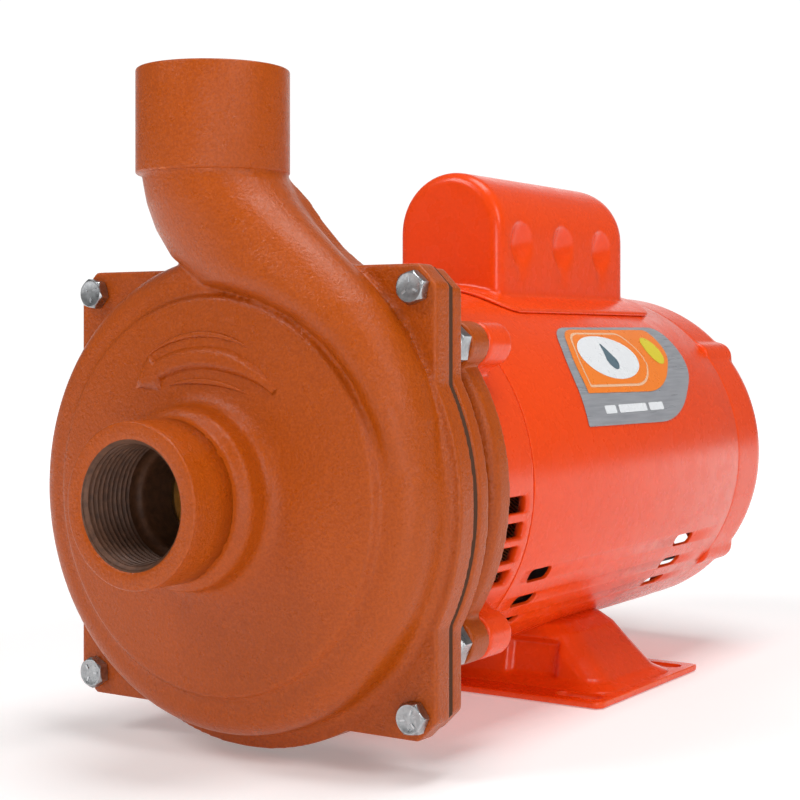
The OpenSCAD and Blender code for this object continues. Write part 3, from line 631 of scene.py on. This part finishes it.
def bolts():
    """The visible heads of the casing bolts and of the motor's ear bolts, over their CAD shanks."""
    head_turns = (0.30, 0.85, 0.05, 0.62)
    # node, name of its pieces, width across the flats, height of the head, radius of the shank
    groups = (("casing_bolts", "casing_bolt", 10.0, 4.2, 3.1), ("adapter_bolts", "adapter_bolt", 14.2, 6.0, 4.7))
    for node, name, across, height, shank_r in groups:
        low, high = (local(p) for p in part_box(node))
        half_x = (high.x - low.x) / 2 - across / math.sqrt(3)
        half_z = (high.z - low.z) / 2 - across / 2
        seat_y = low.y + height
        for i, (sx, sz) in enumerate(((-1, 1), (1, 1), (-1, -1), (1, -1))):
            hex_bolt(f"{name}_{i + 1}", at(sx * half_x, seat_y, sz * half_z),
                                 across, height, (0, -1, 0), head_turns[i])
            shank(f"{name}_shank_{i + 1}", sx * half_x, sz * half_z, seat_y, high.y, shank_r)
        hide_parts(node)


def shank(name, x, z, y0, y1, radius):
    """A bolt's threaded shank."""
    around = 24
    pitch = 1.25
    rows = []
    count = int((y1 - y0) / pitch * 4)
    for k in range(count + 1):
        y = y0 + (y1 - y0) * k / count
        row = []
        for i in range(around):
            depth = 0.5 * thread_depth((y - y0) / pitch - i / around)
            r = radius - depth - (0.8 if k == count else 0)
            a = math.tau * i / around
            row.append(at(x + r * math.cos(a), y, z + r * math.sin(a)))
        rows.append(row)
    piece = grid_piece(name, rows)
    bm = bmesh.new()
    bm.from_mesh(piece.data)
    bmesh.ops.holes_fill(bm, edges=[e for e in bm.edges if e.is_boundary], sides=around)
    bm.to_mesh(piece.data)
    bm.free()
    return dress(piece, "zinc")


# ---- motor shell ----

def tube(name, outer, inner, y0, y1):
    """A rolled tube on the shaft's axis, with a small bevel on its four edges."""
    around = 256
    bevel = 0.2
    rows = []
    for r, y in ((inner, y0 + bevel), (inner + bevel, y0), (outer - bevel, y0), (outer, y0 + bevel),
                 (outer, y1 - bevel), (outer - bevel, y1), (inner + bevel, y1), (inner, y1 - bevel)):
        rows.append([at(r * math.cos(math.tau * i / around), y, r * math.sin(math.tau * i / around))
                     for i in range(around)])
    rows.append(rows[0])
    piece = grid_piece(name, rows)
    bm = bmesh.new()
    bm.from_mesh(piece.data)
    bmesh.ops.remove_doubles(bm, verts=bm.verts, dist=1e-7)
    bmesh.ops.recalc_face_normals(bm, faces=bm.faces)
    bm.to_mesh(piece.data)
    bm.free()
    return piece


def slot_cutter(bm, angle, y0, y1, half, radius):
    """A rounded window through the wall at an angle below level, in degrees."""
    corner = 2.2
    outline = []
    for cx, cy, start in ((y1 - corner, half - corner, 0), (y0 + corner, half - corner, 90),
                          (y0 + corner, -half + corner, 180), (y1 - corner, -half + corner, 270)):
        for k in range(5):
            a = math.radians(start + 22.5 * k)
            outline.append((cx + corner * math.cos(a), cy + corner * math.sin(a)))
    turn = Matrix.Rotation(math.radians(angle), 3, "Y")
    ends = []
    for r in (radius - 9, radius + 6):
        ends.append([bm.verts.new(at(0, 0, 0) + turn @ Vector((r, y, w)) * MM) for y, w in outline])
    bm.faces.new(ends[0])
    bm.faces.new(reversed(ends[1]))
    count = len(outline)
    for i in range(count):
        j = (i + 1) % count
        bm.faces.new((ends[0][i], ends[1][i], ends[1][j], ends[0][j]))


def motor_shell():
    """The rolled shell with its two groups of windows, the same on the left and the right."""
    wall = 1.5
    front_window, rear_window = (77, 94), (209, 227)
    half_tall = 2.9
    piece = tube("motor_shell_skin", SHELL_R, SHELL_R - wall, SHELL_Y0, SHELL_Y1)
    bm = bmesh.new()
    for angle in (28.4, 38, 47.5):
        for turned in (angle, 180 - angle):
            slot_cutter(bm, turned, *front_window, half_tall, SHELL_R)
            slot_cutter(bm, turned, *rear_window, half_tall, SHELL_R)
    bmesh.ops.recalc_face_normals(bm, faces=bm.faces)
    cutter = from_bmesh("cutter", bm)
    cut = piece.modifiers.new("windows", "BOOLEAN")
    cut.object = cutter
    cut.solver = "EXACT"
    apply_modifiers(piece)
    bpy.data.objects.remove(cutter)
    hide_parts("motor_shell")
    dress(piece, "motor_paint")
    soften(piece, 0.3, 2, 40)
    return piece


# ---- foot ----

def rounded_corner_ring(half_x, half_y, corner, count):
    """Points round a rounded rectangle, evenly along each side and corner."""
    points = []
    corner = min(corner, half_x, half_y)
    side_x, side_y = 2 * (half_x - corner), 2 * (half_y - corner)
    arc = math.pi / 2 * corner
    total = 2 * (side_x + side_y) + 4 * arc
    pieces = ((side_y, (half_x, -half_y + corner), (0, 1)), (side_x, (half_x - corner, half_y), (-1, 0)),
              (side_y, (-half_x, half_y - corner), (0, -1)), (side_x, (-half_x + corner, -half_y), (1, 0)))
    centres = ((half_x - corner, half_y - corner), (-half_x + corner, half_y - corner),
               (-half_x + corner, -half_y + corner), (half_x - corner, -half_y + corner))
    for k in range(count):
        s = total * k / count
        for n, (length, start, way) in enumerate(pieces):
            if s < length:
                points.append((start[0] + way[0] * s, start[1] + way[1] * s))
                break
            s -= length
            if s < arc:
                a = math.pi / 2 * n + s / corner
                points.append((centres[n][0] + corner * math.cos(a), centres[n][1] + corner * math.sin(a)))
                break
            s -= arc
    return points


def smooth_step(t):
    """0 to 1 with a soft start and end."""
    t = min(1.0, max(0.0, t))
    return t * t * (3 - 2 * t)


def foot_saddle():
    """The pressed saddle between the shell and the foot's flange, with two pockets in its front and rear."""
    count = 320
    rows = []
    base_z = BASE_Z + 2.6
    side = [(64.8, base_z), (50.5, -73), (46.5, -68.4), (41, -65), (34, -63), (32.5, -58)]
    heights = []
    for (x0, z0), (x1, z1) in zip(side, side[1:]):
        parts = max(2, round(math.hypot(x1 - x0, z1 - z0) / 0.6))
        heights += [(x0 + (x1 - x0) * i / parts, z0 + (z1 - z0) * i / parts) for i in range(parts)]
    heights.append(side[-1])
    steps = len(heights) - 1
    blend = 4.0              # radius of the fillet onto the flange
    pocket_x, pocket_z, pocket_depth = (18, 43), (-87.5, -70), 2.8
    for half_x, z in heights:
        t = (z - base_z) / (side[-1][1] - base_z)
        spread = blend * max(0.0, 1 - (z - base_z) / blend) ** 2
        half_x += spread
        half_y = 29.6 - 6.4 * t + spread
        ring = rounded_corner_ring(half_x, half_y, 10 + 3 * t, count)
        row = []
        for x, y in ring:
            inward = 0.0
            if abs(y) > half_y - 3:
                across = smooth_step((abs(x) - pocket_x[0]) / 3) * smooth_step((pocket_x[1] - abs(x)) / 3)
                up = smooth_step((z - pocket_z[0]) / 3) * smooth_step((pocket_z[1] - z) / 3)
                inward = pocket_depth * across * up
            row.append(Vector((x, y - math.copysign(inward, y), z)))
        rows.append(row)
    fitted = []
    reach = SHELL_R + 0.15
    for column in range(count):
        line = [row[column] for row in rows]
        stop = len(line) - 1
        for k, p in enumerate(line):
            if math.hypot(p.x, p.z) < reach:
                stop = k
                break
        if stop > 0 and math.hypot(line[stop].x, line[stop].z) < reach:
            a, b = line[stop - 1], line[stop]
            ra, rb = math.hypot(a.x, a.z), math.hypot(b.x, b.z)
            end = a.lerp(b, (ra - reach) / (ra - rb))
        else:
            end = line[stop]
        length = (end - line[0]).length / (line[-1] - line[0]).length
        resampled = []
        for k in range(steps + 1):
            place = length * k
            low = min(int(place), steps - 1)
            resampled.append(line[low].lerp(line[low + 1], place - low))
        fitted.append(resampled)
    grid = [[at(fitted[c][k].x, FOOT_Y + fitted[c][k].y, fitted[c][k].z) for c in range(count)]
            for k in range(steps + 1)]
    piece = grid_piece("foot_saddle", grid)
    wall = piece.modifiers.new("wall", "SOLIDIFY")
    wall.thickness = 2.3 * MM
    wall.offset = -1
    smooth = piece.modifiers.new("round", "SMOOTH")
    smooth.factor = 0.5
    smooth.iterations = 4
    apply_modifiers(piece)
    return dress(piece, "motor_paint")


def foot_flange():
    """The foot's flat flange: rounded edge, four slots and the saddle's opening."""
    pattern = MOUNTS["foot_slots"]["dims"]
    curve = bpy.data.curves.new("foot_flange", "CURVE")
    curve.dimensions = "2D"
    curve.fill_mode = "BOTH"
    thick = 2.5

    def outline(points):
        spline = curve.splines.new("POLY")
        spline.points.add(len(points) - 1)
        for point, (x, y) in zip(spline.points, points):
            point.co = (x * MM, y * MM, 0, 1)
        spline.use_cyclic_u = True

    outline(rounded_corner_ring(FOOT_W - 0.4, (FOOT_Y1 - FOOT_Y0) / 2 - 0.4, 2.2, 160))
    outline(rounded_corner_ring(61.8, 26.6, 8, 160))
    half_long = pattern["slot_length_mm"] / 2
    for sx in (-1, 1):
        for sy in (-1, 1):
            cx, cy = sx * pattern["spacing_x_mm"] / 2, sy * pattern["spacing_y_mm"] / 2
            outline([(cx + x, cy + y) for x, y in
                     rounded_corner_ring(half_long, pattern["hole_r_mm"], pattern["hole_r_mm"], 48)])
    curve.extrude = (thick / 2 - 0.4) * MM
    curve.bevel_depth = 0.4 * MM
    curve.bevel_resolution = 2
    piece = new_piece("foot_flange", curve)
    piece.location = at(0, FOOT_Y, BASE_Z + thick / 2)
    bpy.context.view_layer.update()
    bpy.context.view_layer.objects.active = piece
    piece.select_set(True)
    bpy.ops.object.convert(target="MESH")
    piece = bpy.context.view_layer.objects.active
    piece.data.transform(piece.matrix_world)
    piece.matrix_world = Matrix.Identity(4)
    piece.select_set(False)
    dress(piece, "motor_paint")
    edges = piece.modifiers.new("edges", "EDGE_SPLIT")
    edges.split_angle = math.radians(50)
    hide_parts("motor_foot")
    return piece


# ---- badge ----

def flat_material(name, tone, rough):
    """Printed ink on the badge: a slight grain and worn gloss."""
    s = Surface(name)
    s.colour(s.ramp(s.noise(1500, 2), [(0.3, tuple(c * 0.92 for c in tone)), (0.7, tone)]))
    s.roughness(s.ramp(s.noise(200, 3), [(0.3, rough), (0.7, rough + 0.12)]))
    s.bumps((s.noise(900, 2), 0.01, 0.4))
    return s.material


BADGE_Y = 173.5          # the badge's middle along the shaft
BADGE_ANGLE = 33.5       # and round the shell, in degrees above level


def badge_patch(name, outline, lift, material):
    """A printed area of the badge, wrapped round the shell. outline is in millimetres along the
    shaft and round the shell, from the badge's middle."""
    bm = bmesh.new()
    face = bm.faces.new([bm.verts.new((u, v, 0)) for u, v in outline])
    bmesh.ops.triangulate(bm, faces=[face])
    for _ in range(3):
        bmesh.ops.subdivide_edges(bm, edges=bm.edges[:], cuts=1, use_grid_fill=True)
    radius = SHELL_R + lift
    for v in bm.verts:
        turn = math.radians(BADGE_ANGLE) + v.co.y / SHELL_R
        along = v.co.x
        v.co = at(radius * math.cos(turn), BADGE_Y + along, radius * math.sin(turn))
    bmesh.ops.recalc_face_normals(bm, faces=bm.faces)
    piece = from_bmesh(name, bm)
    dress(piece, "badge")
    piece.data.materials.clear()
    piece.data.materials.append(material)
    return piece


def ellipse(cu, cv, a, b):
    """Points round an ellipse of half axes a and b."""
    count = 48
    return [(cu + a * math.cos(math.tau * i / count), cv + b * math.sin(math.tau * i / count))
            for i in range(count)]


def rounded_path(corners, steps=8):
    """A closed outline from [(u, v, corner radius)]."""
    points = []
    for i, (u, v, radius) in enumerate(corners):
        here = Vector((u, v))
        before = (Vector(corners[i - 1][:2]) - here).normalized()
        after = (Vector(corners[(i + 1) % len(corners)][:2]) - here).normalized()
        if not radius:
            points.append((u, v))
            continue
        start, end = here + before * radius, here + after * radius
        for k in range(steps + 1):
            t = k / steps
            p = start * (1 - t) ** 2 + here * 2 * t * (1 - t) + end * t ** 2
            points.append((p.x, p.y))
    return points


def inset(points, share_u, share_v, middle):
    """An outline drawn in towards its middle."""
    return [(middle[0] + (u - middle[0]) * share_u, middle[1] + (v - middle[1]) * share_v) for u, v in points]


def badge():
    """A generic foil badge: silver field, orange panel, a white oval with a water drop, and plain bars."""
    orange = flat_material("badge_orange", (0.90, 0.22, 0.02), 0.25)
    white = flat_material("badge_white", (0.80, 0.82, 0.84), 0.25)
    pale = flat_material("badge_line", (0.85, 0.50, 0.30), 0.25)
    blue = flat_material("badge_drop", (0.10, 0.16, 0.20), 0.25)
    yellow = flat_material("badge_yellow", (0.72, 0.60, 0.03), 0.25)
    foil = rounded_path([(-59.5, -23.5, 1), (26, -24.5, 18), (59.5, 0, 12), (59.5, 24.5, 10),
                         (-43, 23.5, 12), (-57, 2, 8)])
    plate = badge_patch("badge_foil", foil, 0.25, SLOTS["badge"])
    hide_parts("badge_plate")
    panel = rounded_path([(-51, -10, 0.5), (20, -11, 16), (46, 8, 9), (44, 22.3, 4), (-37, 22, 9), (-50, 4, 7)])
    badge_patch("badge_panel", panel, 0.40, orange)
    border = rounded_path([(-46.8, -7.6, 0.5), (10, -8.2, 14), (19, 6, 8), (12, 20, 5), (-35, 20, 8), (-46, 3, 7)])
    badge_patch("badge_border", border, 0.46, pale)
    badge_patch("badge_inner_panel", inset(border, 0.965, 0.92, (-16, 6)), 0.52, orange)
    badge_patch("badge_oval", ellipse(-15, 6.6, 25.2, 11.2), 0.58, white)
    drop = []
    for i in range(40):
        a = math.tau * i / 40
        stretch = 1 + 0.9 * max(0.0, math.sin(a)) ** 3
        narrow = 1 - 0.35 * max(0.0, math.sin(a))
        drop.append((-15 + 4.6 * math.cos(a) * narrow, 4.6 + 4.6 * math.sin(a) * stretch))
    badge_patch("badge_drop", drop, 0.64, blue)
    badge_patch("badge_disc", ellipse(31.5, 9.5, 7, 7.5), 0.52, yellow)
    start, gap = -42, 2.5
    low_edge, high_edge, corner = -19, -15.6, 0.8
    for i, length in enumerate((10, 26, 14)):
        end = start + length
        bar = rounded_path([(start, low_edge, corner), (end, low_edge, corner),
                            (end, high_edge, corner), (start, high_edge, corner)], 4)
        badge_patch(f"badge_bar_{i + 1}", bar, 0.40, white)
        start += length + gap


# ---- everything that keeps its CAD shape ----

def dress_cad_nodes():
    """Gives every CAD node that is still shown the finish of its slot."""
    for name, piece in NODES.items():
        if piece.hide_render:
            continue
        piece.data.materials.clear()
        piece.data.materials.append(SLOTS[NODE_SLOT[name]])
        for polygon in piece.data.polygons:
            polygon.use_smooth = True
            polygon.material_index = 0


# ---- studio ----

def map_range(node, start, end, low, high):
    """Sets a Map Range node to give low at start and high at end."""
    for socket, value in (("From Min", start), ("From Max", end), ("To Min", low), ("To Max", high)):
        node.inputs[socket].default_value = value


def studio():
    """Pale floor with painted light: it glows, more brightly outwards, though it is no lamp; a bright backdrop
    behind the photograph's view; four soft lights.
    """
    floor = bpy.data.meshes.new("floor")
    size = 6
    floor.from_pydata([(-size, -size, 0), (size, -size, 0), (size, size, 0), (-size, size, 0)], [], [(0, 1, 2, 3)])
    floor = new_piece("floor", floor)
    s = Surface("floor")
    s.colour(s.ramp(s.noise(3, 2), [(0.3, (0.86, 0.86, 0.86)), (0.7, (0.89, 0.89, 0.89))]))
    # painted light: the floor's emission is weak near the middle and grows outwards, so the floor glows though it is
    # no lamp
    s.set(roughness=0.75, emission_color=(1, 1, 1, 1))
    spread = s.add("ShaderNodeVectorMath", operation="LENGTH")
    s.link(s.place, spread.inputs[0])
    glow = s.add("ShaderNodeMapRange")
    map_range(glow, 0.25, 1.3, 0.22, 0.85)
    s.link(spread.outputs["Value"], glow.inputs["Value"])
    s.link(glow.outputs["Result"], s.shader.inputs["Emission Strength"])
    floor.data.materials.append(s.material)
    floor.location.z = -0.0004

    world = bpy.data.worlds.new("studio")
    world.use_nodes = True
    tree = world.node_tree
    place = tree.nodes.new("ShaderNodeTexCoord")
    facing = tree.nodes.new("ShaderNodeVectorMath")
    facing.operation = "DOT_PRODUCT"
    facing.inputs[1].default_value = (-0.547, 0.837, 0.0)    # the way the photograph looks
    level = tree.nodes.new("ShaderNodeMapRange")
    map_range(level, 0.80, 0.94, 0.17, 1.05)
    tree.links.new(place.outputs["Generated"], facing.inputs[0])
    tree.links.new(facing.outputs["Value"], level.inputs["Value"])
    tree.nodes["Background"].inputs["Color"].default_value = (1, 1, 1, 1)
    tree.links.new(level.outputs["Result"], tree.nodes["Background"].inputs["Strength"])
    bpy.context.scene.world = world
    bpy.context.scene.view_settings.view_transform = "Standard"

    middle = at(0, 120, 20)

    def soft_light(name, offset, width, height, power):
        light = bpy.data.lights.new(name, "AREA")
        light.shape = "RECTANGLE"
        light.size = width
        light.size_y = height
        light.energy = power
        lamp = bpy.data.objects.new(name, light)
        bpy.context.scene.collection.objects.link(lamp)
        lamp.location = middle + Vector(offset)
        lamp.rotation_mode = "QUATERNION"
        lamp.rotation_quaternion = Vector(offset).to_track_quat("Z", "Y")

    soft_light("key", (-0.7, -1.3, 1.3), 0.7, 0.7, 12)
    soft_light("side", (1.6, -0.5, 0.9), 0.5, 0.7, 9)
    soft_light("top", (0.3, 0.0, 1.8), 1.3, 0.8, 22)
    soft_light("fill", (1.0, -1.5, 0.10), 0.6, 0.4, 5)


def camera():
    """The camera stands where the photograph's perspective puts it, level, with the frame shifted down."""
    data = bpy.data.cameras.new("camera")
    data.lens = 75.42
    data.sensor_width = 36
    data.shift_y = -0.0756   # the photograph's frame sits low
    data.clip_start = 0.02
    data.clip_end = 40
    eye = bpy.data.objects.new("camera", data)
    bpy.context.scene.collection.objects.link(eye)
    azimuth = math.radians(PHOTO_AZIMUTH)
    eye.location = at(364.5, -468.7, 53.1)
    eye.rotation_mode = "QUATERNION"
    eye.rotation_quaternion = Vector((math.sin(azimuth), -math.cos(azimuth), 0)).to_track_quat("Z", "Y")
    bpy.context.scene.camera = eye


casing()
suction_collar()
discharge_collar()
rotation_arrow()
cast_copy("adapter_bracket", 0.85, 8, "adapter_skin")
cast_copy("front_end_bell", 0.8, 7, "front_bell_skin")
cast_copy("rear_end_bell", 0.8, 7, "rear_bell_skin")
capacitor_cover()
bolts()
motor_shell()
foot_saddle()
foot_flange()
badge()
dress_cad_nodes()
studio()
camera()
